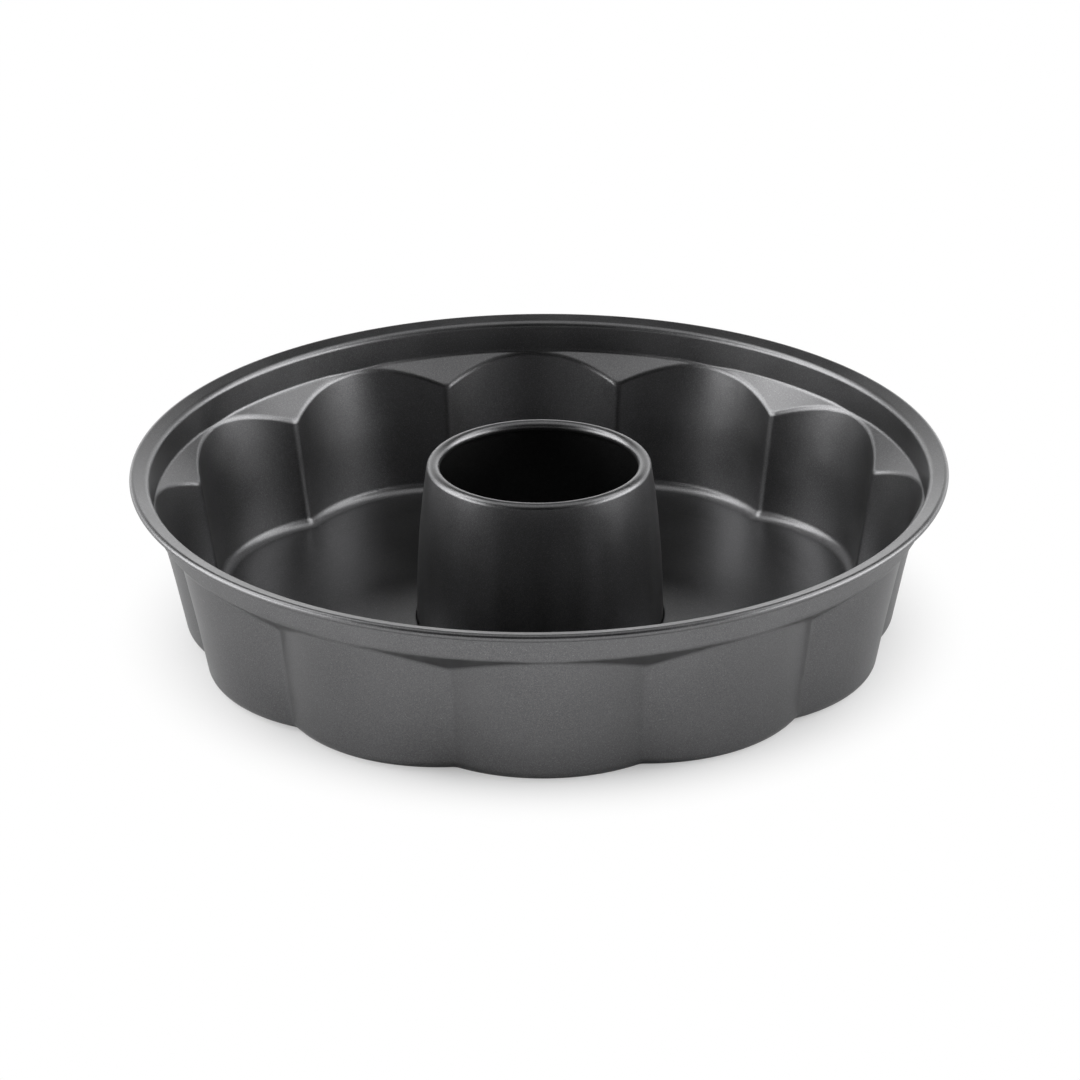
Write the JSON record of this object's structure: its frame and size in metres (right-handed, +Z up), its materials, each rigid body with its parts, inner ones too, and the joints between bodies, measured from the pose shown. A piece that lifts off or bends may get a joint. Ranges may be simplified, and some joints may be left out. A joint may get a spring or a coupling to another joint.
{
  "type": "angel food cake pan",
  "caption": "Round fluted ring cake pan with a scalloped wall, a wired rolled rim and a hemmed centre tube.",
  "frame": {"origin": "centre of the pan on the surface it stands on", "axes": "+Z up along the tube's axis, -Y towards the front, with a lobe of the wall facing the front exactly"},
  "size_m": [0.26, 0.26, 0.0563],
  "materials": {
    "coating": "dark grey satin non-stick coating",
    "wire": "plain drawn wire"
  },
  "bodies": {
    "root": {"pan_body": "coating", "centre_tube": "coating", "rim_wire": "wire"}
  },
  "joints": []
}
